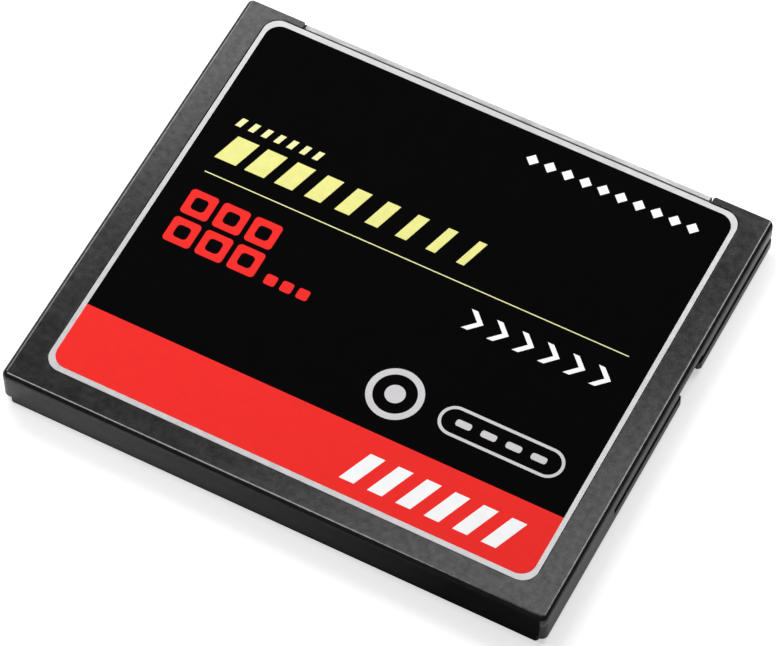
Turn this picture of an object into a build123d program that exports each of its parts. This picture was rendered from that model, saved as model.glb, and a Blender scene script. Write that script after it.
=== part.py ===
from build123d import *
import os

# Flash memory card with a fifty-way socket along one edge.
# A moulded frame carries two steel covers, the socket and a populated circuit board.
# Millimetres. The origin is the middle of the back face, +X is across the card with the label upright,
# +Y is towards the socket and +Z is out of the label.

os.makedirs("parts", exist_ok=True)

# Card outline
card_width = 42.8
card_length = 36.4
card_thickness = 3.3
foot_width = 41.66
foot_height = 0.63
corner_radius = 0.5
foot_corner_radius = 0.3
shoulder_radius = 0.42
socket_end_spare = 1.5
half_length = card_length / 2

# Guide rails: a groove in each side with a rail below it, open at the socket end
groove_length = 25.78
groove_depth = 0.99
groove_floor = 1.39
right_groove_top = 2.15
left_groove_top = 2.38
notch_start = 12.1
notch_length = 2.9
notch_top = 2.44
notch_top_far_reach = 0.3
notch_top_near_reach = 0.6
notch_ease = 0.2
notch_lead_depth = 0.1
notch_lead_length = 0.25

# Label and the recess that it lies in
label_half_width = 19.2
label_near = -16.1
label_far = 17.6
label_radius = 1.25
label_thickness = 0.1
label_sink = 0.07
recess_gap = 0.06

# Covers
cover_steel = 0.2
cover_inset = 0.03
film_thickness = 0.05
sheet_half_width = 17.2
sheet_near = -14.0
tongue_left = -16.5
tongue_right = 16.37
tongue_end = 18.15
tongue_groove_width = 0.18
tongue_groove_depth = 0.08
tab_length = 3.0
tab_drop = 0.55
tab_gap = 0.03
side_tab_places = [-10.0, -0.5, 9.0]
rear_tab_places = [-9.0, 9.0]

# Heights of the layers, from the back face up
back_cover_top = cover_steel
back_film_top = back_cover_top + film_thickness
label_top = card_thickness - label_sink
front_cover_top = label_top - label_thickness
front_cover_floor = front_cover_top - cover_steel
front_film_floor = front_cover_floor - film_thickness

# Opening through the frame
cavity_half_width = 18.3
cavity_near = -15.1
cavity_far = 15.1
bay_half_width = 16.62
block_easing = 0.12
board_ledge = 0.7

# Circuit board
board_width = 36.3
board_near = -14.9
board_far = 11.3
board_thickness = 0.6
middle_height = card_thickness / 2
board_floor = middle_height - board_thickness / 2
board_top = middle_height + board_thickness / 2

# Socket
contact_columns = 25
contact_pitch = 1.27
row_pitch = 1.27
socket_front = 18.0
socket_rear = 11.6
socket_half_width = 16.5
ear_half_width = 18.2
ear_front = 15.0
ear_floor = 0.6
ear_top = 2.7
hole_width = 0.76
hole_sides = 8
funnel_width = 1.0
funnel_depth = 0.15

# Contacts, as a side profile measured from the row's own height
contact_width = 0.3
fork_tip = 17.2
fork_outer = 0.32
fork_inner = 0.2
barb_half_height = hole_width / 2
barb_rear = 12.0
slit_end = 13.7
tail_thickness = 0.12
tail_bend = 11.2
tail_foot = 10.7
tail_end = 9.7

# Chip packages
memory_width = 12.0
memory_length = 18.4
memory_height = 0.86
memory_standoff = 0.05
memory_centre_y = -3.9
memory_centres_x = [-10.6, 2.6]
lead_count = 24
lead_pitch = 0.5
lead_width = 0.22
lead_thickness = 0.12
lead_reach = 0.8
lead_height = 0.42
chip_edge = 0.08
dimple_radius = 0.5
dimple_depth = 0.04
dimple_inset = 1.2
controller_size = 13.0
controller_height = 0.95
controller_place = (-7.0, -4.5)
buffer_width = 8.0
buffer_length = 9.0
buffer_height = 0.9
buffer_place = (6.5, -5.0)

# Small parts: places on the board, with each size as width, length and height
regulator_size = (2.9, 1.6, 0.85)
regulator_place = (14.5, -11.5)
reset_chip_size = (2.0, 1.25, 0.85)
reset_chip_place = (14.5, -7.5)
crystal_size = (3.2, 2.5, 0.7)
crystal_place = (14.0, -3.0)
reservoir_size = (3.2, 1.6, 0.9)
reservoir_places = [(14.5, 1.5), (14.5, 4.2)]
decoupler_size = (1.0, 0.5, 0.5)
decoupler_row_count = 8
decoupler_row_pitch = 2.6
decoupler_row_y = 8.2
decoupler_column_count = 6
decoupler_column_pitch = 2.0
decoupler_column_y = -9.5
decoupler_first_x = -15.5
resistor_array_size = (2.0, 1.0, 0.4)
resistor_array_count = 8
resistor_array_pitch = 3.6
resistor_array_first_x = -12.6
resistor_array_y = 7.6

top_aligned = (Align.CENTER, Align.CENTER, Align.MAX)
base_aligned = (Align.CENTER, Align.CENTER, Align.MIN)


def rounded_outline(grow):
    """Outline of the label, grown on every side, in the sketch that is open."""
    width = 2 * (label_half_width + grow)
    length = label_far - label_near + 2 * grow
    with Locations((0, (label_far + label_near) / 2)):
        RectangleRounded(width, length, label_radius + grow)


def tongue_strip(near, far):
    """Strip across the tongue between the end blocks, from near to far along Y, in the open sketch."""
    with Locations(((tongue_left + tongue_right) / 2, (near + far) / 2)):
        Rectangle(tongue_right - tongue_left, far - near)


def tab_places(inset):
    """Places and turns of the cover tabs, with the tab's middle inset from the cover's edge."""
    side_x = label_half_width - cover_inset - inset
    rear_y = label_near + cover_inset + inset
    places = []
    for side in (-1, 1):
        for y in side_tab_places:
            places.append(Location((side * side_x, y), 90))
    for x in rear_tab_places:
        places.append(Location((x, rear_y), 0))
    return places


# Frame: one black moulding with a stepped foot, guide rails and a recess on each face
with BuildPart() as frame:
    with BuildSketch(Plane.XY.offset(foot_height)):
        with Locations((0, socket_end_spare / 2)):
            RectangleRounded(card_width, card_length + socket_end_spare, corner_radius)
    extrude(amount=card_thickness - foot_height)
    fillet(frame.faces().sort_by(Axis.Z)[-1].edges(), shoulder_radius)
    # Cut to length, which leaves the socket end's top edge sharp
    with BuildSketch(Plane.XY.offset(foot_height)):
        RectangleRounded(card_width, card_length, corner_radius)
    extrude(amount=card_thickness - foot_height, mode=Mode.INTERSECT)
    with BuildSketch():
        RectangleRounded(foot_width, card_length, foot_corner_radius)
    extrude(amount=foot_height)
    # Label and cover recess on the front, and the cover recess on the back
    with BuildSketch(Plane.XY.offset(front_film_floor)):
        rounded_outline(recess_gap)
    extrude(amount=card_thickness, mode=Mode.SUBTRACT)
    with BuildSketch():
        rounded_outline(recess_gap)
    extrude(amount=back_film_top, mode=Mode.SUBTRACT)
    # Opening for the board, stepped to leave a ledge under its edges, and the bay of the socket
    with BuildSketch(Plane.XY.offset(board_floor)):
        with Locations((0, (cavity_near + cavity_far) / 2)):
            Rectangle(2 * cavity_half_width, cavity_far - cavity_near)
    extrude(amount=card_thickness, mode=Mode.SUBTRACT)
    with BuildSketch():
        with Locations((0, (cavity_near + board_ledge + cavity_far) / 2)):
            Rectangle(2 * (cavity_half_width - board_ledge), cavity_far - cavity_near - board_ledge)
        with Locations((0, (socket_rear + cavity_far) / 2)):
            Rectangle(2 * cavity_half_width, cavity_far - socket_rear)
        with Locations((0, (cavity_far + half_length) / 2)):
            Rectangle(2 * bay_half_width, half_length - cavity_far + 1)
    extrude(amount=card_thickness, mode=Mode.SUBTRACT)
    # Eased corners of the two end blocks beside the bay
    for side in (-1, 1):
        block_side = side * bay_half_width
        with BuildSketch():
            with BuildLine():
                Polyline(
                    (block_side, half_length - block_easing),
                    (block_side + side * block_easing, half_length),
                    (block_side, half_length),
                    close=True,
                )
            make_face()
        extrude(amount=card_thickness, mode=Mode.SUBTRACT)
    # Slots that the cover tabs drop into
    slot_length = tab_length + 2 * tab_gap
    slot_width = cover_steel + 2 * tab_gap
    slot_depth = tab_drop + tab_gap
    with BuildSketch(Plane.XY.offset(front_film_floor - slot_depth)):
        with Locations(*tab_places(cover_steel / 2)):
            Rectangle(slot_length, slot_width)
    extrude(amount=slot_depth, mode=Mode.SUBTRACT)
    with BuildSketch(Plane.XY.offset(back_film_top)):
        with Locations(*tab_places(cover_steel / 2)):
            Rectangle(slot_length, slot_width)
    extrude(amount=slot_depth, mode=Mode.SUBTRACT)
    # Guide groove and latch notch in each side, the left groove taller so that the card fits one way up
    groove_end = half_length - groove_length
    notch_far = half_length - notch_start
    notch_near = notch_far - notch_length
    notch_top_far = notch_far + notch_top_far_reach
    notch_top_near = notch_near - notch_top_near_reach
    for side, groove_top in ((1, right_groove_top), (-1, left_groove_top)):
        wall = side * card_width / 2
        floor = wall - side * groove_depth
        outside = wall + side
        with BuildSketch(Plane.XY.offset(groove_floor)):
            with Locations(((floor + outside) / 2, (groove_end + half_length + 1) / 2)):
                Rectangle(groove_depth + 1, groove_length + 1)
        extrude(amount=groove_top - groove_floor, mode=Mode.SUBTRACT)
        with BuildSketch():
            with BuildLine():
                Polyline(
                    (floor, notch_far),
                    (wall - side * notch_ease, notch_far),
                    (wall, notch_far + notch_ease),
                    (outside, notch_far + notch_ease),
                    (outside, notch_near - notch_lead_length),
                    (wall, notch_near - notch_lead_length),
                    (wall - side * notch_lead_depth, notch_near),
                    (floor, notch_near),
                    close=True,
                )
            make_face()
        extrude(amount=groove_floor, mode=Mode.SUBTRACT)
        with BuildSketch(Plane.XY.offset(groove_floor)):
            with Locations(((floor + outside) / 2, (notch_top_far + notch_top_near) / 2)):
                Rectangle(groove_depth + 1, notch_top_far - notch_top_near)
        extrude(amount=notch_top - groove_floor, mode=Mode.SUBTRACT)
frame.part.label = "frame"
export_step(frame.part, "parts/frame.step")

# Front cover: a steel sheet whose bare tongue shows along the socket edge
with BuildPart() as front_cover:
    with BuildSketch(Plane.XY.offset(front_cover_floor)):
        rounded_outline(-cover_inset)
        tongue_strip(label_far - 1, tongue_end)
    extrude(amount=cover_steel)
    with BuildSketch(Plane.XY.offset(front_cover_top - tongue_groove_depth)):
        tongue_strip(label_far, label_far + tongue_groove_width)
    extrude(amount=tongue_groove_depth, mode=Mode.SUBTRACT)
    with BuildSketch(Plane.XY.offset(front_film_floor - tab_drop)):
        with Locations(*tab_places(cover_steel / 2)):
            Rectangle(tab_length, cover_steel)
    extrude(amount=tab_drop + film_thickness)
front_cover.part.label = "front_cover"
export_step(front_cover.part, "parts/front_cover.step")

# Back cover: the same sheet, plain, flush with the frame's back
with BuildPart() as back_cover:
    with BuildSketch():
        rounded_outline(-cover_inset)
        tongue_strip(label_far - 1, tongue_end)
    extrude(amount=back_cover_top)
    with BuildSketch(Plane.XY.offset(back_cover_top)):
        with Locations(*tab_places(cover_steel / 2)):
            Rectangle(tab_length, cover_steel)
    extrude(amount=tab_drop + film_thickness)
back_cover.part.label = "back_cover"
export_step(back_cover.part, "parts/back_cover.step")

# Front label: a printed film on the front cover
with BuildPart() as front_label:
    with BuildSketch(Plane.XY.offset(front_cover_top)):
        rounded_outline(0)
    extrude(amount=label_thickness)
front_label.part.label = "front_label"
export_step(front_label.part, "parts/front_label.step")

# Bonding films: rings between each cover and the frame, inside the tab slots
film_outer_half_width = label_half_width - cover_inset - cover_steel - 2 * tab_gap
film_near = label_near + cover_inset + cover_steel + 2 * tab_gap
for name, floor in (("front_bonding_film", front_film_floor), ("back_bonding_film", back_cover_top)):
    with BuildPart() as bonding_film:
        with BuildSketch(Plane.XY.offset(floor)):
            with Locations((0, (film_near + cavity_far) / 2)):
                Rectangle(2 * film_outer_half_width, cavity_far - film_near)
            with Locations((0, (cavity_near + cavity_far + 1) / 2)):
                Rectangle(2 * cavity_half_width, cavity_far - cavity_near + 1, mode=Mode.SUBTRACT)
        extrude(amount=film_thickness)
    bonding_film.part.label = name
    export_step(bonding_film.part, f"parts/{name}.step")

# Insulating sheets: keep each cover off the live board
for name, floor in (("front_insulating_sheet", front_film_floor), ("back_insulating_sheet", back_cover_top)):
    with BuildPart() as insulating_sheet:
        with BuildSketch(Plane.XY.offset(floor)):
            with Locations((0, (sheet_near + board_far) / 2)):
                Rectangle(2 * sheet_half_width, board_far - sheet_near)
        extrude(amount=film_thickness)
    insulating_sheet.part.label = name
    export_step(insulating_sheet.part, f"parts/{name}.step")

# Socket housing: two rows of funnel-mouthed holes, with ears held behind the frame's end blocks
row_heights = [middle_height - row_pitch / 2, middle_height + row_pitch / 2]
with BuildPart() as pin_hole:
    with BuildSketch():
        RegularPolygon(funnel_width / 2, hole_sides, major_radius=False, rotation=180 / hole_sides)
    with BuildSketch(Plane.XY.offset(-funnel_depth)):
        RegularPolygon(hole_width / 2, hole_sides, major_radius=False, rotation=180 / hole_sides)
    loft()
    with BuildSketch(Plane.XY.offset(-funnel_depth)):
        RegularPolygon(hole_width / 2, hole_sides, major_radius=False, rotation=180 / hole_sides)
    extrude(amount=socket_rear - socket_front)
with BuildPart() as socket_housing:
    with BuildSketch(Plane.XY.offset(back_cover_top)):
        with Locations((0, (socket_front + socket_rear) / 2)):
            Rectangle(2 * socket_half_width, socket_front - socket_rear)
    extrude(amount=front_cover_floor - back_cover_top)
    with BuildSketch(Plane.XY.offset(ear_floor)):
        with Locations((0, (ear_front + socket_rear) / 2)):
            Rectangle(2 * ear_half_width, ear_front - socket_rear)
    extrude(amount=ear_top - ear_floor)
    mouth_plane = Plane(origin=(0, socket_front, middle_height), x_dir=(1, 0, 0), z_dir=(0, 1, 0))
    with Locations(mouth_plane):
        with GridLocations(contact_pitch, row_pitch, contact_columns, 2):
            add(pin_hole.part, mode=Mode.SUBTRACT)
socket_housing.part.label = "socket_housing"
export_step(socket_housing.part, "parts/socket_housing.step")


def contact_profile(row, sign):
    """Side profile of a contact: a fork for the pin, a barb in the hole and a tail on the board."""
    pad = middle_height + sign * board_thickness / 2
    return [
        (barb_rear, row - sign * barb_half_height),
        (fork_tip, row - sign * fork_outer),
        (fork_tip, row - sign * fork_inner),
        (slit_end, row),
        (fork_tip, row + sign * fork_inner),
        (fork_tip, row + sign * fork_outer),
        (barb_rear, row + sign * barb_half_height),
        (tail_bend, row + sign * tail_thickness / 2),
        (tail_foot, pad + sign * tail_thickness),
        (tail_end, pad + sign * tail_thickness),
        (tail_end, pad),
        (tail_foot + 0.05, pad),
        (tail_bend + 0.05, row - sign * tail_thickness / 2),
    ]


# Contacts: twenty-five pressed forks a row, on top of the board and under it
side_plane = Plane(origin=(0, 0, 0), x_dir=(0, 1, 0), z_dir=(1, 0, 0))
for name, row, sign in (("upper_contacts", row_heights[1], 1), ("lower_contacts", row_heights[0], -1)):
    with BuildPart() as contacts:
        for column in range(contact_columns):
            column_x = (column - (contact_columns - 1) / 2) * contact_pitch
            with BuildSketch(side_plane.offset(column_x)):
                with BuildLine():
                    Polyline(*contact_profile(row, sign), close=True)
                make_face()
            extrude(amount=contact_width / 2, both=True)
    contacts.part.label = name
    export_step(contacts.part, f"parts/{name}.step")

# Circuit board: its front edge stands between the two rows of contact tails
with BuildPart() as circuit_board:
    with BuildSketch(Plane.XY.offset(board_floor)):
        with Locations((0, (board_near + board_far) / 2)):
            Rectangle(board_width, board_far - board_near)
    extrude(amount=board_thickness)
circuit_board.part.label = "circuit_board"
export_step(circuit_board.part, "parts/circuit_board.step")

# Memory chips: flat packages with a moulded edge and a pin-one dimple
memory_floor = board_top + memory_standoff
for number, x in enumerate(memory_centres_x, start=1):
    with BuildPart() as memory_chip:
        with BuildSketch(Plane.XY.offset(memory_floor)):
            with Locations((x, memory_centre_y)):
                Rectangle(memory_width, memory_length)
        extrude(amount=memory_height)
        chamfer(memory_chip.faces().sort_by(Axis.Z)[-1].edges(), chip_edge)
        dimple_x = x - memory_width / 2 + dimple_inset
        dimple_y = memory_centre_y + memory_length / 2 - dimple_inset
        with Locations((dimple_x, dimple_y, memory_floor + memory_height)):
            Cylinder(dimple_radius, dimple_depth, align=top_aligned, mode=Mode.SUBTRACT)
    memory_chip.part.label = f"memory_chip_{number}"
    export_step(memory_chip.part, f"parts/memory_chip_{number}.step")

# Memory chip leads: bent legs in rows at the chips' two ends, twenty-four a row
with BuildPart() as memory_chip_leads:
    for x in memory_centres_x:
        for end in (-1, 1):
            body_end = memory_centre_y + end * memory_length / 2
            foot_end = body_end + end * lead_reach
            with BuildSketch(side_plane.offset(x - lead_width / 2)):
                with BuildLine():
                    Polyline(
                        (body_end, board_top + lead_height),
                        (body_end + end * lead_reach / 2, board_top + lead_thickness),
                        (foot_end, board_top + lead_thickness),
                        (foot_end, board_top),
                        (body_end + end * lead_reach / 3, board_top),
                        (body_end, board_top + lead_height - lead_thickness),
                        close=True,
                    )
                make_face()
            first = -(lead_count - 1) / 2 * lead_pitch
            one_lead = extrude(amount=lead_width, mode=Mode.PRIVATE)
            for number in range(lead_count):
                with Locations((first + number * lead_pitch, 0, 0)):
                    add(one_lead)
memory_chip_leads.part.label = "memory_chip_leads"
export_step(memory_chip_leads.part, "parts/memory_chip_leads.step")


def package(place, size, up):
    """A square-edged part soldered on the board's top where up is 1, or under it where up is -1."""
    width, length, height = size
    face = middle_height + up * board_thickness / 2
    floor = face if up > 0 else face - height
    with Locations((place[0], place[1], floor)):
        Box(width, length, height, align=base_aligned)


# Controller and buffer memory: low packages on the board's underside
for name, place, size in (
    ("controller_chip", controller_place, (controller_size, controller_size, controller_height)),
    ("buffer_memory_chip", buffer_place, (buffer_width, buffer_length, buffer_height)),
):
    with BuildPart() as chip:
        package(place, size, -1)
        chamfer(chip.faces().sort_by(Axis.Z)[0].edges(), chip_edge)
    chip.part.label = name
    export_step(chip.part, f"parts/{name}.step")

# Supply, reset and clock parts on the board's top
for name, place, size in (
    ("voltage_regulator", regulator_place, regulator_size),
    ("reset_chip", reset_chip_place, reset_chip_size),
    ("clock_crystal", crystal_place, crystal_size),
):
    with BuildPart() as small_part:
        package(place, size, 1)
        chamfer(small_part.faces().sort_by(Axis.Z)[-1].edges(), chip_edge)
    small_part.part.label = name
    export_step(small_part.part, f"parts/{name}.step")

# Reservoir capacitors beside the regulator
with BuildPart() as reservoir_capacitors:
    for place in reservoir_places:
        package(place, reservoir_size, 1)
reservoir_capacitors.part.label = "reservoir_capacitors"
export_step(reservoir_capacitors.part, "parts/reservoir_capacitors.step")

# Decoupling capacitors: a row behind the contact tails and a row beside the controller
with BuildPart() as decoupling_capacitors:
    for number in range(decoupler_row_count):
        row_x = decoupler_first_x + number * decoupler_row_pitch
        package((row_x, decoupler_row_y), decoupler_size, 1)
    for number in range(decoupler_column_count):
        column_y = decoupler_column_y + number * decoupler_column_pitch
        package((decoupler_first_x, column_y), decoupler_size, -1)
decoupling_capacitors.part.label = "decoupling_capacitors"
export_step(decoupling_capacitors.part, "parts/decoupling_capacitors.step")

# Resistor arrays: in line with the data contacts, on the board's underside
with BuildPart() as resistor_arrays:
    for number in range(resistor_array_count):
        array_x = resistor_array_first_x + number * resistor_array_pitch
        package((array_x, resistor_array_y), resistor_array_size, -1)
resistor_arrays.part.label = "resistor_arrays"
export_step(resistor_arrays.part, "parts/resistor_arrays.step")
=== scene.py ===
import math

import bmesh
import bpy
from mathutils import Matrix, Vector


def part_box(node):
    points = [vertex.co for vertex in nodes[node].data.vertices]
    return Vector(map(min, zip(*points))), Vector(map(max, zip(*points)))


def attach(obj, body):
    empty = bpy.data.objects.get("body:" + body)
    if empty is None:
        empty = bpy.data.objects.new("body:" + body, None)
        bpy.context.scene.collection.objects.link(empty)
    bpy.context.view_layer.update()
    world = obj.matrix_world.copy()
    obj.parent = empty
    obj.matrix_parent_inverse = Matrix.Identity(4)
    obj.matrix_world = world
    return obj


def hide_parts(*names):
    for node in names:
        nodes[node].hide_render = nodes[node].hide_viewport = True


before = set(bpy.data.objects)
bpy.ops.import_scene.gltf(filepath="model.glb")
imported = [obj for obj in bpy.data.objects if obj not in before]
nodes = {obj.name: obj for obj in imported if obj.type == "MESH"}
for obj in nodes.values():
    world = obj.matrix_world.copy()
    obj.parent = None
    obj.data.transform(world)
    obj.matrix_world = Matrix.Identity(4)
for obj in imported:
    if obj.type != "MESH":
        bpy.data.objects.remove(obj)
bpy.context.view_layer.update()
label_low, label_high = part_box("front_label")

# Sizes and places below are in millimetres, and this turns them into Blender's metres
MM = 0.001

# Camera, as fitted to the photograph's outline
CAMERA_PLACE = Vector((82.677, -151.892, 278.726))
CAMERA_RIGHT = Vector((0.884855, 0.465770, -0.009532))
CAMERA_DOWN = Vector((0.391429, -0.754408, -0.526927))
CAMERA_FORWARD = Vector((-0.252618, 0.462523, -0.849857))
IMAGE_WIDTH = 776
FOCAL_PIXELS = 4601.9
SENSOR_WIDTH = 36.0
CLIP_START = 10.0
CLIP_END = 10000.0

# Edge rounding of the moulded and pressed pieces
ROUNDING_WIDTH = 0.03
ROUNDING_SEGMENTS = 2
SHARP_ANGLE = math.radians(24)
FLAT_ANGLE = math.radians(0.5)
MERGE_DISTANCE = 0.0001
LARGE_FACE_WEIGHT = 100

# What stays sharp: all that the label and covers hide, and the thin ends of the foot's step
COVERED_HALF_WIDTH = 19.23
COVERED_NEAR = -16.13
COVERED_FAR = 17.63
STEP_STRAIGHT = 17.75
STEP_LOW = 0.6
STEP_HIGH = 0.66

# Printed areas on the label
LABEL_BACK = label_low.z / MM
LABEL_TOP = label_high.z / MM
LABEL_HALF_WIDTH = label_high.x / MM
LABEL_FAR = label_high.y / MM
LABEL_RADIUS = 1.25
INK_HEIGHT = 0.012
FIELD_HALF_WIDTH = 18.83
FIELD_TOP = 17.15
BAND_TOP = -10.33
BAND_BOTTOM = -15.68
FIELD_RADIUS = 1.15
RULE_LEFT = -16.9
RULE_RIGHT = 17.07
RULE_BOTTOM = 3.315
RULE_TOP = 3.395

# Straight steps in an arc, and the corners of a box, counted from its top right one round to the left
ARC_STEPS = 10
QUARTER_TURN = 90
ALL_CORNERS = (0, 1, 2, 3)
TOP_CORNERS = (0, 1)
BOTTOM_CORNERS = (2, 3)

# Yellow blocks over the rule, each narrower than the one before, with small bars above them
BLOCK_COUNT = 9
BLOCK_LEFT = -16.9
BLOCK_PITCH = 2.45
BLOCK_WIDTH = 1.75
BLOCK_NARROWING = 0.14
BLOCK_BOTTOM = 4.75
BLOCK_TOP = 7.1
BLOCK_LEAN = 0.7
BAR_COUNT = 7
BAR_PITCH = 1.05
BAR_WIDTH = 0.45
BAR_BOTTOM = 7.85
BAR_TOP = 8.65
BAR_LEAN = 0.25

# Red square rings in two rows, with small squares beside them
SQUARE_LEFT = -16.9
SQUARE_BOTTOM = -3.1
SQUARE_SIZE = 2.2
SQUARE_PITCH = 2.6
SQUARE_STROKE = 0.55
SQUARE_ROUNDING = 0.3
SQUARE_COLUMNS = 3
SQUARE_ROWS = 2
SMALL_SQUARE_LEFT = -8.7
SMALL_SQUARE_SIZE = 0.9
SMALL_SQUARE_PITCH = 1.3
SMALL_SQUARE_COUNT = 3
MARK_ROUNDING = 0.2

# Small white diamonds near the top edge, and white arrowheads under the rule
DIAMOND_COUNT = 10
DIAMOND_LEFT = 3.6
DIAMOND_PITCH = 1.42
DIAMOND_HEIGHT = 15.05
DIAMOND_REACH = 0.5
ARROW_COUNT = 6
ARROW_LEFT = 5.5
ARROW_PITCH = 2.0
ARROW_BOTTOM = 0.1
ARROW_TOP = 1.8
ARROW_REACH = 0.85
ARROW_STROKE = 0.5

# Grey ring with a dot, and a grey rounded outline with short bars in it
RING_PLACE = (3.95, -6.9)
RING_RADIUS = 2.1
RING_STROKE = 0.5
RING_DOT = 0.75
PILL_LEFT = 7.45
PILL_RIGHT = 17.1
PILL_BOTTOM = -8.15
PILL_TOP = -5.7
PILL_STROKE = 0.24
PILL_BAR_COUNT = 4
PILL_BAR_LEFT = 8.75
PILL_BAR_PITCH = 1.95
PILL_BAR_LENGTH = 1.2
PILL_BAR_BOTTOM = -7.2
PILL_BAR_TOP = -6.65

# White slanted stripes on the red band
STRIPE_COUNT = 6
STRIPE_LEFT = 3.6
STRIPE_PITCH = 2.2
STRIPE_WIDTH = 1.15
STRIPE_BOTTOM = -14.6
STRIPE_TOP = -11.95
STRIPE_LEAN = 1.1

# Painted shade: a dark line laid in the groove between the label and the bare steel, where the groove lies in
# shade
GROOVE_LEFT = -16.47
GROOVE_RIGHT = 16.34
GROOVE_NEAR = 17.61
GROOVE_FAR = 17.77
GROOVE_DEPTH = 0.08
GROOVE_FILL = 0.03

# Painted shade: a dark line in the gap between the label and the right block, round the label's corner to an
# angle in degrees
GAP_SHADE_LEFT = 16.48
GAP_SHADE_OUTWARD = 0.05
GAP_SHADE_INWARD = 0.02
GAP_SHADE_END = 10

# Painted shade at both ends of the steel tongue: dark blocks which fill the left gap and edge the right one,
# where the gaps lie in shade
GAP_LEFT = -16.62
TONGUE_LEFT = -16.5
TONGUE_RIGHT = 16.37
GAP_RIGHT = 16.46
GAP_NEAR = 17.3
GAP_FAR = 18.14
GAP_BOTTOM = 1.0
GAP_TOP = 3.12

# Floor, the painted dark reflection beside the card, where the floor turns dark only for reflections, and
# light
FLOOR_HALF_SIZE = 1500.0
FLOOR_DROP = 0.03
FLOOR_COLOUR = (0.75, 0.75, 0.75)
FLOOR_CHANGE = 0.005
FLOOR_GLOW = 0.52
REFLECTION_SHADE_EDGE = -18.0
REFLECTION_SHADE_FADE_START = -16.0
REFLECTION_SHADE_FADE_END = 14.0
REFLECTION_SHADE_RIGHT = 20.7
REFLECTION_SHADE_DARKNESS = 0.9
REFLECTION_SHADE_COLOUR = (0.0, 0.0, 0.0, 1.0)
WORLD_LEVEL = 0.15
LAMP_HEIGHT = 150.0

# Patterns: the usual span of a noise value, and how strong a bump is
PATTERN_LOW = 0.3
PATTERN_HIGH = 0.7
BUMP_STRENGTH = 1.0

# Frame, with its specks of dust in cells a metre and parts of a cell, and steel
FRAME_BLACK = (0.0046, 0.0043, 0.0043)
FRAME_IOR = 1.6
DUST_GREY = (0.03, 0.03, 0.03, 1.0)
DUST_SCALE = 900.0
DUST_CORE = 0.03
DUST_EDGE = 0.08
STEEL_GREY = (0.345, 0.341, 0.338)

# Sockets of the Mix node for colours, by number because their names repeat
MIX_FACTOR = 0
MIX_FIRST = 6
MIX_SECOND = 7
MIX_RESULT = 2


# Shader nodes

def add_node(tree, kind, settings=None, inputs=None):
    """Adds a node, with its settings, and its inputs as values or as links from other sockets."""
    node = tree.nodes.new(kind)
    for name, value in (settings or {}).items():
        setattr(node, name, value)
    for name, value in (inputs or {}).items():
        if isinstance(value, bpy.types.NodeSocket):
            tree.links.new(value, node.inputs[name])
        else:
            node.inputs[name].default_value = value
    return node


def calculate(tree, operation, first, second):
    """The result of a product or comparison of two values."""
    node = add_node(tree, "ShaderNodeMath", {"operation": operation}, {0: first, 1: second})
    return node.outputs["Value"]


def remap(tree, value, from_low, from_high, to_low, to_high):
    """Takes a value from one range to another."""
    mapped = add_node(tree, "ShaderNodeMapRange", inputs={
        "Value": value, "From Min": from_low, "From Max": from_high, "To Min": to_low, "To Max": to_high})
    return mapped.outputs["Result"]


def spread(tree, value, low, high):
    """Maps a noise value's usual span to the given range."""
    return remap(tree, value, PATTERN_LOW, PATTERN_HIGH, low, high)


def mixed_colour(tree, factor, first, second):
    """The first colour, which gives way to the second as the factor rises to 1."""
    mixed = add_node(tree, "ShaderNodeMix", {"data_type": "RGBA"},
                     {MIX_FACTOR: factor, MIX_FIRST: first, MIX_SECOND: second})
    return mixed.outputs[MIX_RESULT]


def noise(tree, place, scale, detail, roughness=0.55, stretch=None):
    """A noise pattern with its scale in cycles a metre, stretched along the axes where asked."""
    if stretch:
        mapping = add_node(tree, "ShaderNodeMapping", inputs={"Vector": place, "Scale": stretch})
        place = mapping.outputs["Vector"]
    pattern = add_node(tree, "ShaderNodeTexNoise",
                       inputs={"Vector": place, "Scale": scale, "Detail": detail, "Roughness": roughness})
    return pattern.outputs["Fac"]


def shade(colour, factor):
    """The colour made lighter or darker, with alpha."""
    return tuple(min(1.0, part * factor) for part in colour) + (1.0,)


def varied_colour(tree, value, colour, change):
    """A colour that a pattern takes a little darker and lighter."""
    ramp = add_node(tree, "ShaderNodeValToRGB", inputs={"Fac": value})
    dark, light = ramp.color_ramp.elements
    dark.position = PATTERN_LOW
    dark.color = shade(colour, 1 - change)
    light.position = PATTERN_HIGH
    light.color = shade(colour, 1 + change)
    return ramp.outputs["Color"]


def bump(tree, shader, height, distance, under=None):
    """Raises a pattern by a distance in metres, over another bump where there is one."""
    inputs = {"Height": height, "Distance": distance, "Strength": BUMP_STRENGTH}
    if under:
        inputs["Normal"] = under
    normal = add_node(tree, "ShaderNodeBump", inputs=inputs).outputs["Normal"]
    tree.links.new(normal, shader.inputs["Normal"])
    return normal


# Materials

def new_material(name):
    """A material with a Principled shader, and the object coordinates that its patterns use."""
    material = bpy.data.materials.new(name)
    material.use_nodes = True
    tree = material.node_tree
    shader = tree.nodes["Principled BSDF"]
    place = add_node(tree, "ShaderNodeTexCoord").outputs["Object"]
    return material, tree, shader, place


def textured(name, colour, roughness, grain, relief, change, gloss_change=0.04, patch=900.0, **constants):
    """A material with grain and broad patches in cycles a metre, relief in metres, and fixed values."""
    material, tree, shader, place = new_material(name)
    fine = noise(tree, place, scale=grain, detail=4.0)
    broad = noise(tree, place, scale=patch, detail=5.0, roughness=0.65)
    gloss = spread(tree, broad, roughness - gloss_change, roughness + gloss_change)
    tree.links.new(varied_colour(tree, broad, colour, change), shader.inputs["Base Color"])
    tree.links.new(gloss, shader.inputs["Roughness"])
    bump(tree, shader, fine, distance=relief)
    for key, value in constants.items():
        shader.inputs[key.replace("_", " ")].default_value = value
    return material


def matte_ink(name, colour, change):
    """Printed ink with hardly any gloss."""
    return textured(name, colour, roughness=0.5, grain=9000.0, relief=0.8e-6, change=change,
                    gloss_change=0.05, Specular_IOR_Level=0.06)


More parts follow.
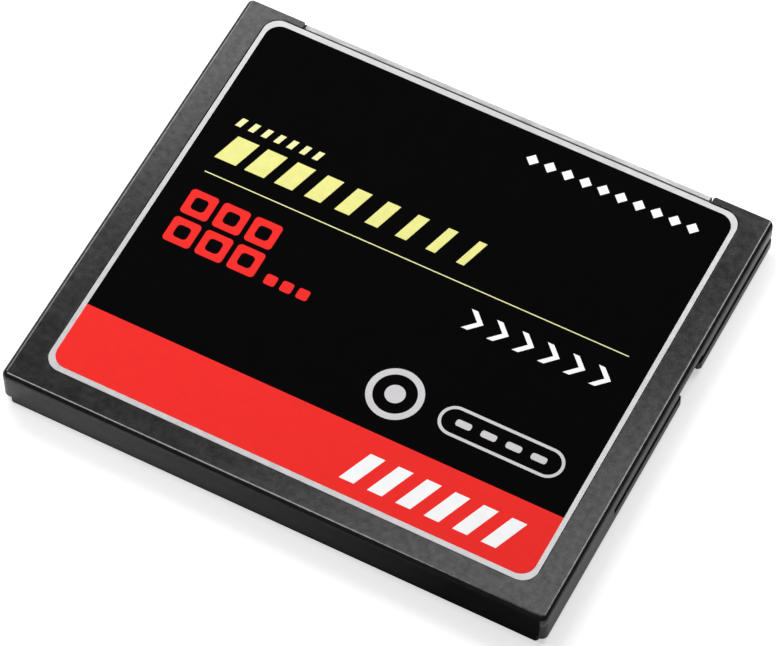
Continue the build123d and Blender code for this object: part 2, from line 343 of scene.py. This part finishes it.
def frame_plastic():
    """Black moulding with mottled gloss, a fine eroded grain, faint flow marks and specks of dust."""
    material, tree, shader, place = new_material("frame_moulding_black")
    broad = noise(tree, place, scale=450.0, detail=6.0, roughness=0.7)
    fine = noise(tree, place, scale=9000.0, detail=4.0)
    flow = noise(tree, place, scale=700.0, detail=3.0, stretch=(1.0, 0.35, 1.0))
    mottling = noise(tree, place, scale=1800.0, detail=6.0, roughness=0.75)
    specks = add_node(tree, "ShaderNodeTexVoronoi", inputs={"Vector": place, "Scale": DUST_SCALE})
    dust = remap(tree, specks.outputs["Distance"], DUST_CORE, DUST_EDGE, 1.0, 0.0)
    black = varied_colour(tree, broad, FRAME_BLACK, change=0.25)
    tree.links.new(mixed_colour(tree, dust, black, DUST_GREY), shader.inputs["Base Color"])
    tree.links.new(spread(tree, broad, low=0.16, high=0.21), shader.inputs["Roughness"])
    tree.links.new(spread(tree, mottling, low=0.33, high=0.69), shader.inputs["Specular IOR Level"])
    waves = bump(tree, shader, flow, distance=2e-6)
    bump(tree, shader, fine, distance=0.5e-6, under=waves)
    shader.inputs["IOR"].default_value = FRAME_IOR
    return material


def brushed_steel():
    """Stainless sheet with fine brushing along the card's width, and lighter and darker wear."""
    material, tree, shader, place = new_material("brushed_cover_steel")
    lines = noise(tree, place, scale=9000.0, detail=4.0, stretch=(0.05, 1.0, 1.0))
    broad = noise(tree, place, scale=500.0, detail=4.0)
    worn = noise(tree, place, scale=2600.0, detail=6.0, roughness=0.75, stretch=(0.25, 1.0, 1.0))
    tree.links.new(varied_colour(tree, worn, STEEL_GREY, change=0.3), shader.inputs["Base Color"])
    tree.links.new(spread(tree, broad, low=0.38, high=0.46), shader.inputs["Roughness"])
    bump(tree, shader, lines, distance=2e-6)
    shader.inputs["Metallic"].default_value = 1.0
    return material


MATERIALS = {
    "frame": frame_plastic(),
    "steel": brushed_steel(),
    "silver_ink": textured("silver_border_ink", colour=(0.455, 0.446, 0.45), roughness=0.34, grain=2500.0,
                           relief=0.2e-6, change=0.05, gloss_change=0.03, patch=1800.0, Metallic=0.7),
    # Black ink of the printed field, also used for the painted shade line in the label's gap
    "black_ink_and_gap_shade": textured("black_field_ink_and_gap_shade", colour=(0.0018, 0.0016, 0.0019), roughness=0.6, grain=9000.0,
                          relief=0.6e-6, change=0.2, gloss_change=0.05, patch=700.0,
                          Specular_IOR_Level=0.01),
    "red_ink": matte_ink("red_band_ink", colour=(0.86, 0.023, 0.019), change=0.03),
    # Painted shade for the dark line in the tongue's groove and the dark blocks at the tongue's ends
    "groove": textured("groove_shadow_line", colour=(0.014, 0.013, 0.014), roughness=0.6, grain=9000.0,
                       relief=0.8e-6, change=0.2),
    "pale_yellow_ink": matte_ink("pale_yellow_ink", colour=(0.83, 0.82, 0.4), change=0.05),
    "yellow_ink": matte_ink("yellow_ink", colour=(0.8, 0.785, 0.27), change=0.05),
    "white_ink": matte_ink("white_ink", colour=(0.95, 0.95, 0.95), change=0.04),
    "grey_ink": matte_ink("grey_ink", colour=(0.625, 0.61, 0.625), change=0.04),
    "socket": textured("socket_moulding_black", colour=(0.018, 0.018, 0.018), roughness=0.42,
                       grain=9000.0, relief=2e-6, change=0.2),
    "contact": textured("gold_contact_metal", colour=(0.86, 0.62, 0.22), roughness=0.28, grain=12000.0,
                        relief=1e-6, change=0.08, Metallic=1.0),
    "tin": textured("tinned_metal", colour=(0.7, 0.7, 0.69), roughness=0.35, grain=12000.0,
                    relief=1.5e-6, change=0.1, Metallic=1.0),
    "epoxy": textured("chip_epoxy_black", colour=(0.022, 0.022, 0.024), roughness=0.5, grain=12000.0,
                      relief=3e-6, change=0.2),
    "ceramic": textured("capacitor_ceramic_tan", colour=(0.42, 0.3, 0.19), roughness=0.45, grain=9000.0,
                        relief=2e-6, change=0.12),
    "amber": textured("amber_insulating_film", colour=(0.6, 0.27, 0.03), roughness=0.25, grain=5000.0,
                      relief=1.5e-6, change=0.08),
    "clear": textured("bonding_film", colour=(0.6, 0.6, 0.56), roughness=0.35, grain=7000.0,
                      relief=1.5e-6, change=0.06),
    "board": textured("board_solder_mask", colour=(0.012, 0.11, 0.045), roughness=0.3, grain=6000.0,
                      relief=2e-6, change=0.15),
}

NODE_MATERIALS = {
    "frame": "frame",
    "front_cover": "steel",
    "back_cover": "steel",
    "front_label": "silver_ink",
    "front_bonding_film": "clear",
    "back_bonding_film": "clear",
    "front_insulating_sheet": "amber",
    "back_insulating_sheet": "amber",
    "socket_housing": "socket",
    "upper_contacts": "contact",
    "lower_contacts": "contact",
    "circuit_board": "board",
    "memory_chip_1": "epoxy",
    "memory_chip_2": "epoxy",
    "memory_chip_leads": "tin",
    "controller_chip": "epoxy",
    "buffer_memory_chip": "epoxy",
    "voltage_regulator": "epoxy",
    "reset_chip": "epoxy",
    "clock_crystal": "tin",
    "reservoir_capacitors": "ceramic",
    "decoupling_capacitors": "ceramic",
    "resistor_arrays": "epoxy",
}


def set_material(thing, key):
    """Gives an object one material of the scene."""
    thing.data.materials.clear()
    thing.data.materials.append(MATERIALS[key])


for node_name, key in NODE_MATERIALS.items():
    set_material(nodes[node_name], key)


# Pieces with rounded edges, which stand for the sharp-edged solids

def link_piece(name, data):
    """A new object in the scene."""
    piece = bpy.data.objects.new(name, data)
    bpy.context.scene.collection.objects.link(piece)
    return piece


def bmesh_piece(name, work):
    """A new object with the finished work as its mesh."""
    mesh = bpy.data.meshes.new(name)
    work.to_mesh(mesh)
    work.free()
    return link_piece(name, mesh)


def apply_modifiers(piece):
    """Replaces an object's mesh by what its modifiers make of it."""
    bpy.context.view_layer.update()
    evaluated = piece.evaluated_get(bpy.context.evaluated_depsgraph_get())
    mesh = bpy.data.meshes.new_from_object(evaluated)
    piece.modifiers.clear()
    piece.data = mesh


def in_the_open(point):
    """Whether a point is clear of the label and covers, and of the thin ends of the foot's step."""
    x, y, z = point / MM
    step_end = abs(y) > STEP_STRAIGHT and STEP_LOW < z < STEP_HIGH
    return not step_end and (abs(x) > COVERED_HALF_WIDTH or y < COVERED_NEAR or y > COVERED_FAR)


def rounded_piece(node_name, name):
    """The node's own form with the sharp edges that can be seen rounded by a hair."""
    work = bmesh.new()
    work.from_mesh(nodes[node_name].data)
    bmesh.ops.remove_doubles(work, verts=work.verts, dist=MERGE_DISTANCE * MM)
    bmesh.ops.dissolve_limit(work, angle_limit=FLAT_ANGLE, verts=work.verts, edges=work.edges)
    weight = work.edges.layers.float.new("bevel_weight_edge")
    for edge in work.edges:
        if edge.calc_face_angle(0.0) > SHARP_ANGLE and all(in_the_open(vert.co) for vert in edge.verts):
            edge[weight] = 1.0
    piece = bmesh_piece(name, work)
    for polygon in piece.data.polygons:
        polygon.use_smooth = True
    bevel = piece.modifiers.new("edge", "BEVEL")
    bevel.width = ROUNDING_WIDTH * MM
    bevel.segments = ROUNDING_SEGMENTS
    bevel.limit_method = "WEIGHT"
    bevel.use_clamp_overlap = False
    shading = piece.modifiers.new("flat", "WEIGHTED_NORMAL")
    shading.mode = "FACE_AREA"
    shading.weight = LARGE_FACE_WEIGHT
    apply_modifiers(piece)
    set_material(piece, NODE_MATERIALS[node_name])
    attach(piece, "root")
    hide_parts(node_name)


rounded_piece("frame", "moulded_frame")
rounded_piece("front_cover", "front_steel_cover")
rounded_piece("back_cover", "back_steel_cover")


# Outlines in the label's plane

def round_point(centre_x, centre_y, radius, angle):
    """The point on a circle at an angle in degrees."""
    turn = math.radians(angle)
    return (centre_x + radius * math.cos(turn), centre_y + radius * math.sin(turn))


def arc(centre_x, centre_y, radius, start, end):
    """Points along an arc between two angles in degrees."""
    step = (end - start) / ARC_STEPS
    angles = [start + step * number for number in range(ARC_STEPS + 1)]
    return [round_point(centre_x, centre_y, radius, angle) for angle in angles]


def circle(x, y, radius):
    """Outline of a disc."""
    step = QUARTER_TURN / ARC_STEPS
    return [round_point(x, y, radius, step * number) for number in range(4 * ARC_STEPS)]


def rounded_box(left, right, bottom, top, radius, corners=ALL_CORNERS):
    """Outline of a box with the given corners rounded."""
    outline = []
    for number, (x, y) in enumerate(((right, top), (left, top), (left, bottom), (right, bottom))):
        if number in corners and radius > 0:
            inward_x = radius if x == left else -radius
            inward_y = radius if y == bottom else -radius
            start = number * QUARTER_TURN
            outline += arc(x + inward_x, y + inward_y, radius, start, start + QUARTER_TURN)
        else:
            outline.append((x, y))
    return outline


def slanted_box(left, right, bottom, top, lean):
    """Outline of a box that leans to the right."""
    return [(right + lean, top), (left + lean, top), (left, bottom), (right, bottom)]


def diamond(x, y):
    """Outline of a small diamond that stands on its point."""
    reach = DIAMOND_REACH
    return [(x + reach, y), (x, y + reach), (x - reach, y), (x, y - reach)]


def arrowhead(left, bottom, top):
    """Outline of an arrowhead that points right."""
    middle = (bottom + top) / 2
    tip = left + ARROW_REACH
    return [(left, top), (left + ARROW_STROKE, top), (tip + ARROW_STROKE, middle),
            (left + ARROW_STROKE, bottom), (left, bottom), (tip, middle)]


# Plain marks in the places that the photograph's print takes up

def yellow_blocks():
    """The slanted blocks over the rule."""
    blocks = []
    for number in range(BLOCK_COUNT):
        left = BLOCK_LEFT + number * BLOCK_PITCH
        right = left + BLOCK_WIDTH - number * BLOCK_NARROWING
        blocks.append(slanted_box(left, right, BLOCK_BOTTOM, BLOCK_TOP, BLOCK_LEAN))
    return blocks


def yellow_bars():
    """The small bars over the blocks."""
    bars = []
    for number in range(BAR_COUNT):
        left = BLOCK_LEFT + number * BAR_PITCH
        bars.append(slanted_box(left, left + BAR_WIDTH, BAR_BOTTOM, BAR_TOP, BAR_LEAN))
    return bars


def red_squares():
    """The rows of square rings, and the small squares beside them."""
    squares = []
    for row in range(SQUARE_ROWS):
        for column in range(SQUARE_COLUMNS):
            left = SQUARE_LEFT + column * SQUARE_PITCH
            bottom = SQUARE_BOTTOM + row * SQUARE_PITCH
            for inset in (0, SQUARE_STROKE):
                reach = SQUARE_SIZE - inset
                squares.append(rounded_box(left + inset, left + reach, bottom + inset, bottom + reach,
                                           SQUARE_ROUNDING))
    for number in range(SMALL_SQUARE_COUNT):
        left = SMALL_SQUARE_LEFT + number * SMALL_SQUARE_PITCH
        right = left + SMALL_SQUARE_SIZE
        top = SQUARE_BOTTOM + SMALL_SQUARE_SIZE
        squares.append(rounded_box(left, right, SQUARE_BOTTOM, top, MARK_ROUNDING))
    return squares


def white_marks():
    """The diamonds and the arrowheads."""
    pointed = []
    for number in range(DIAMOND_COUNT):
        pointed.append(diamond(DIAMOND_LEFT + number * DIAMOND_PITCH, DIAMOND_HEIGHT))
    for number in range(ARROW_COUNT):
        pointed.append(arrowhead(ARROW_LEFT + number * ARROW_PITCH, ARROW_BOTTOM, ARROW_TOP))
    return pointed


def grey_marks():
    """The ring with its dot, and the rounded outline with its bars."""
    marks = []
    for radius in (RING_RADIUS, RING_RADIUS - RING_STROKE, RING_DOT):
        marks.append(circle(*RING_PLACE, radius))
    for inset in (0, PILL_STROKE):
        radius = (PILL_TOP - PILL_BOTTOM) / 2 - inset
        marks.append(rounded_box(PILL_LEFT + inset, PILL_RIGHT - inset, PILL_BOTTOM + inset,
                                 PILL_TOP - inset, radius))
    for number in range(PILL_BAR_COUNT):
        left = PILL_BAR_LEFT + number * PILL_BAR_PITCH
        right = left + PILL_BAR_LENGTH
        marks.append(rounded_box(left, right, PILL_BAR_BOTTOM, PILL_BAR_TOP, MARK_ROUNDING))
    return marks


def white_stripes():
    """The slanted stripes on the band."""
    stripes = []
    for number in range(STRIPE_COUNT):
        left = STRIPE_LEFT + number * STRIPE_PITCH
        stripes.append(slanted_box(left, left + STRIPE_WIDTH, STRIPE_BOTTOM, STRIPE_TOP, STRIPE_LEAN))
    return stripes


def gap_shade_line():
    """Outline of a thin line of painted shade along the label's far edge and round its right corner."""
    centre_x = LABEL_HALF_WIDTH - LABEL_RADIUS
    centre_y = LABEL_FAR - LABEL_RADIUS
    outer = arc(centre_x, centre_y, LABEL_RADIUS + GAP_SHADE_OUTWARD, QUARTER_TURN, GAP_SHADE_END)
    inner = arc(centre_x, centre_y, LABEL_RADIUS - GAP_SHADE_INWARD, GAP_SHADE_END, QUARTER_TURN)
    start = [(GAP_SHADE_LEFT, LABEL_FAR - GAP_SHADE_INWARD), (GAP_SHADE_LEFT, LABEL_FAR + GAP_SHADE_OUTWARD)]
    return outer + inner + start


# Printed areas and marks, each a thin raised layer of ink, and a line of painted shade made the same way

def ink_layer(name, key, outlines, level=0):
    """A raised layer inside the outlines, for print and for painted shade, with an outline inside another as
    a hole.
    """
    shape = bpy.data.curves.new(name, "CURVE")
    shape.dimensions = "2D"
    shape.fill_mode = "BOTH"
    shape.extrude = INK_HEIGHT * MM / 2
    for outline in outlines:
        spline = shape.splines.new("POLY")
        spline.points.add(len(outline) - 1)
        for point, (x, y) in zip(spline.points, outline):
            point.co = (x * MM, y * MM, 0.0, 1.0)
        spline.use_cyclic_u = True
    curve = link_piece(name + "_outline", shape)
    bpy.context.view_layer.update()
    mesh = bpy.data.meshes.new_from_object(curve)
    bpy.data.objects.remove(curve)
    middle = LABEL_TOP + INK_HEIGHT * (level + 0.5)
    mesh.transform(Matrix.Translation((0, 0, middle * MM)))
    ink = link_piece(name, mesh)
    set_material(ink, key)
    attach(ink, "root")


field = rounded_box(-FIELD_HALF_WIDTH, FIELD_HALF_WIDTH, BAND_TOP, FIELD_TOP, FIELD_RADIUS, TOP_CORNERS)
band = rounded_box(-FIELD_HALF_WIDTH, FIELD_HALF_WIDTH, BAND_BOTTOM, BAND_TOP, FIELD_RADIUS, BOTTOM_CORNERS)
rule = rounded_box(RULE_LEFT, RULE_RIGHT, RULE_BOTTOM, RULE_TOP, 0)
ink_layer("label_black_field", "black_ink_and_gap_shade", [field])
ink_layer("label_red_band", "red_ink", [band])
ink_layer("label_yellow_rule", "pale_yellow_ink", [rule], level=1)
ink_layer("label_yellow_blocks", "yellow_ink", yellow_blocks(), level=1)
ink_layer("label_yellow_bars", "pale_yellow_ink", yellow_bars(), level=1)
ink_layer("label_red_squares", "red_ink", red_squares(), level=1)
ink_layer("label_white_marks", "white_ink", white_marks(), level=1)
ink_layer("label_grey_marks", "grey_ink", grey_marks(), level=1)
ink_layer("label_white_stripes", "white_ink", white_stripes(), level=1)
# Painted shade in the gap between the label and the right block, in the black ink's material
ink_layer("label_gap_shade_line", "black_ink_and_gap_shade", [gap_shade_line()])


# Dark blocks of painted shade around the steel tongue

def box_piece(name, low, high):
    """A small dark block of painted shade between two corners."""
    work = bmesh.new()
    bmesh.ops.create_cube(work, size=1.0)
    middle = (Vector(low) + Vector(high)) / 2
    size = Vector(high) - Vector(low)
    for vert in work.verts:
        vert.co = (vert.co * size + middle) * MM
    piece = bmesh_piece(name, work)
    set_material(piece, "groove")
    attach(piece, "root")


groove_floor = LABEL_BACK - GROOVE_DEPTH
box_piece("tongue_groove_painted_shade", (GROOVE_LEFT, GROOVE_NEAR, groove_floor),
          (GROOVE_RIGHT, GROOVE_FAR, groove_floor + GROOVE_FILL))
box_piece("tongue_end_left_painted_shade", (GAP_LEFT, GAP_NEAR, GAP_BOTTOM),
          (TONGUE_LEFT, GAP_FAR, GAP_TOP))
box_piece("tongue_end_right_painted_shade", (TONGUE_RIGHT, GAP_NEAR, GAP_BOTTOM),
          (GAP_RIGHT, GAP_FAR, GAP_TOP))


# Camera, floor and light

def place_camera():
    """The camera at the photograph's place and angle."""
    data = bpy.data.cameras.new("camera")
    data.sensor_fit = "HORIZONTAL"
    data.sensor_width = SENSOR_WIDTH
    data.lens = SENSOR_WIDTH * FOCAL_PIXELS / IMAGE_WIDTH
    data.clip_start = CLIP_START * MM
    data.clip_end = CLIP_END * MM
    camera = link_piece("camera", data)
    turn = Matrix((CAMERA_RIGHT, -CAMERA_DOWN, -CAMERA_FORWARD)).transposed().to_4x4()
    camera.matrix_world = Matrix.Translation(CAMERA_PLACE * MM) @ turn
    bpy.context.scene.camera = camera


def painted_reflection_shade(tree, place, glossy):
    """How far the floor by the card's near edge is painted dark where glossy rays see it, a painted dark
    reflection in the near wall.
    """
    parts = add_node(tree, "ShaderNodeSeparateXYZ", inputs={"Vector": place})
    x, y = parts.outputs["X"], parts.outputs["Y"]
    fade = remap(tree, x, REFLECTION_SHADE_FADE_START * MM, REFLECTION_SHADE_FADE_END * MM, 0.0, REFLECTION_SHADE_DARKNESS)
    near = calculate(tree, "LESS_THAN", y, REFLECTION_SHADE_EDGE * MM)
    inside = calculate(tree, "LESS_THAN", x, REFLECTION_SHADE_RIGHT * MM)
    there = calculate(tree, "MULTIPLY", near, inside)
    shown = calculate(tree, "MULTIPLY", there, glossy)
    return calculate(tree, "MULTIPLY", fade, shown)


def floor_material():
    """Pale matte floor with a faint pattern and a painted dark reflection by the card's near edge, which
    glows a little where the camera sees it.
    """
    material = bpy.data.materials.new("floor_white")
    material.use_nodes = True
    tree = material.node_tree
    tree.nodes.clear()
    place = add_node(tree, "ShaderNodeTexCoord").outputs["Object"]
    path = add_node(tree, "ShaderNodeLightPath")
    faint = noise(tree, place, scale=40.0, detail=2.0)
    pale = varied_colour(tree, faint, FLOOR_COLOUR, FLOOR_CHANGE)
    dark = painted_reflection_shade(tree, place, path.outputs["Is Glossy Ray"])
    # Painted dark reflection: the floor's colour turns black by the near edge for glossy rays only
    colour = mixed_colour(tree, dark, pale, REFLECTION_SHADE_COLOUR)
    matte = add_node(tree, "ShaderNodeBsdfDiffuse", inputs={"Color": colour})
    strength = calculate(tree, "MULTIPLY", path.outputs["Is Camera Ray"], FLOOR_GLOW)
    glow = add_node(tree, "ShaderNodeEmission", inputs={"Strength": strength})
    both = add_node(tree, "ShaderNodeAddShader",
                    inputs={0: matte.outputs["BSDF"], 1: glow.outputs["Emission"]})
    add_node(tree, "ShaderNodeOutputMaterial", inputs={"Surface": both.outputs["Shader"]})
    return material


def make_floor():
    """A plain white floor that keeps a soft shadow."""
    reach = FLOOR_HALF_SIZE * MM
    level = -FLOOR_DROP * MM
    corners = [(-reach, -reach, level), (reach, -reach, level), (reach, reach, level), (-reach, reach, level)]
    mesh = bpy.data.meshes.new("floor")
    mesh.from_pydata(corners, [], [tuple(range(len(corners)))])
    mesh.materials.append(floor_material())
    floor = link_piece("floor", mesh)


def make_world():
    """An even dim surround, which is pale where the camera sees it."""
    world = bpy.data.worlds.new("studio")
    world.use_nodes = True
    bpy.context.scene.world = world
    tree = world.node_tree
    tree.nodes.clear()
    path = add_node(tree, "ShaderNodeLightPath")
    strength = remap(tree, path.outputs["Is Camera Ray"], 0.0, 1.0, WORLD_LEVEL, 1.0)
    surround = add_node(tree, "ShaderNodeBackground", inputs={"Strength": strength})
    add_node(tree, "ShaderNodeOutputWorld", inputs={"Surface": surround.outputs["Background"]})


def softbox(name, x, y, turn, width, length, radiance):
    """A level lamp over the card, with its turn in degrees and the brightness of its surface."""
    data = bpy.data.lights.new(name, "AREA")
    data.shape = "RECTANGLE"
    data.size = width * MM
    data.size_y = length * MM
    data.energy = radiance * math.pi * data.size * data.size_y
    lamp = link_piece(name, data)
    lamp.location = Vector((x, y, LAMP_HEIGHT)) * MM
    lamp.rotation_euler.z = math.radians(turn)
    lamp.visible_camera = False


place_camera()
make_floor()
make_world()
softbox("front_softbox", x=-2.1, y=58.7, turn=45, width=120, length=46, radiance=1.9)
softbox("back_softbox", x=-118.8, y=104.6, turn=45, width=140, length=88, radiance=2.6)
softbox("far_softbox", x=-30, y=160, turn=0, width=100, length=76, radiance=4.0)
softbox("left_strip", x=-63, y=-20, turn=0, width=84, length=50, radiance=7.5)
softbox("right_strip", x=56, y=92, turn=0, width=60, length=74, radiance=8.2)
softbox("left_panel", x=-180, y=112, turn=0, width=100, length=95, radiance=7.5)

bpy.context.scene.view_settings.view_transform = "Standard"
